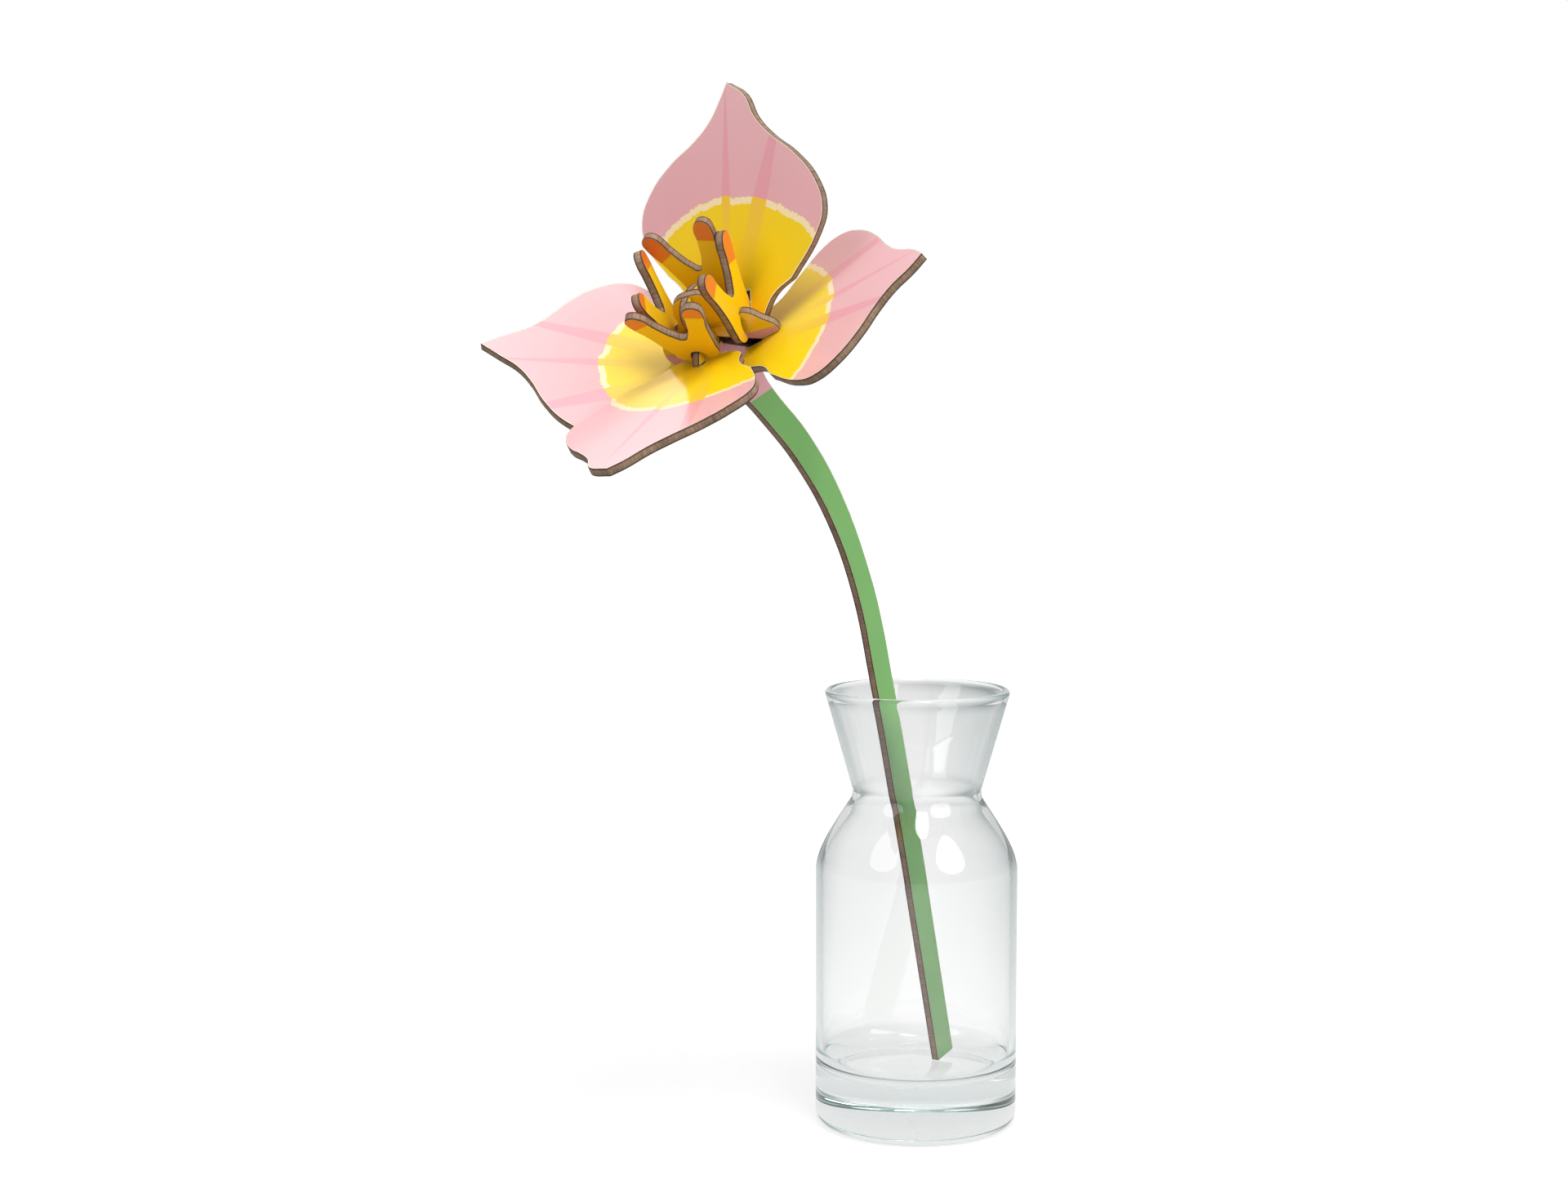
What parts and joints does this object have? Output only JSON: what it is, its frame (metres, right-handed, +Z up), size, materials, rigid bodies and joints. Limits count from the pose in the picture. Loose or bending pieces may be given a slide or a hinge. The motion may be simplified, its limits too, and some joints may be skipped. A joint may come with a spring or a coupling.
{
  "type": "slot-together board tulip in a glass vase",
  "caption": "Decorative tulip slotted together from printed cut board, leaning out of a clear glass carafe vase with a thick base; petals, forked stamens and stem are separate boards.",
  "frame": {"origin": "centre of the vase's flat underside", "axes": "+Z up along the vase's axis; the bloom leans over towards -X and -Y"},
  "size_m": [0.2006, 0.2172, 0.3984],
  "materials": {
    "clear_glass": "clear polished glass",
    "green_board": "printed green face, browned cut edge",
    "pink_board": "printed pink and yellow face, browned cut edge",
    "yellow_board": "printed yellow and orange face, browned cut edge"
  },
  "bodies": {
    "root": {"glass_vase": "clear_glass", "stem_board": "green_board", "cross_board": "yellow_board", "petal_back": "pink_board", "petal_right": "pink_board", "petal_front": "pink_board", "petal_left": "pink_board", "stamen_back": "yellow_board", "stamen_right": "yellow_board", "stamen_front": "yellow_board", "stamen_left": "yellow_board"}
  },
  "joints": []
}
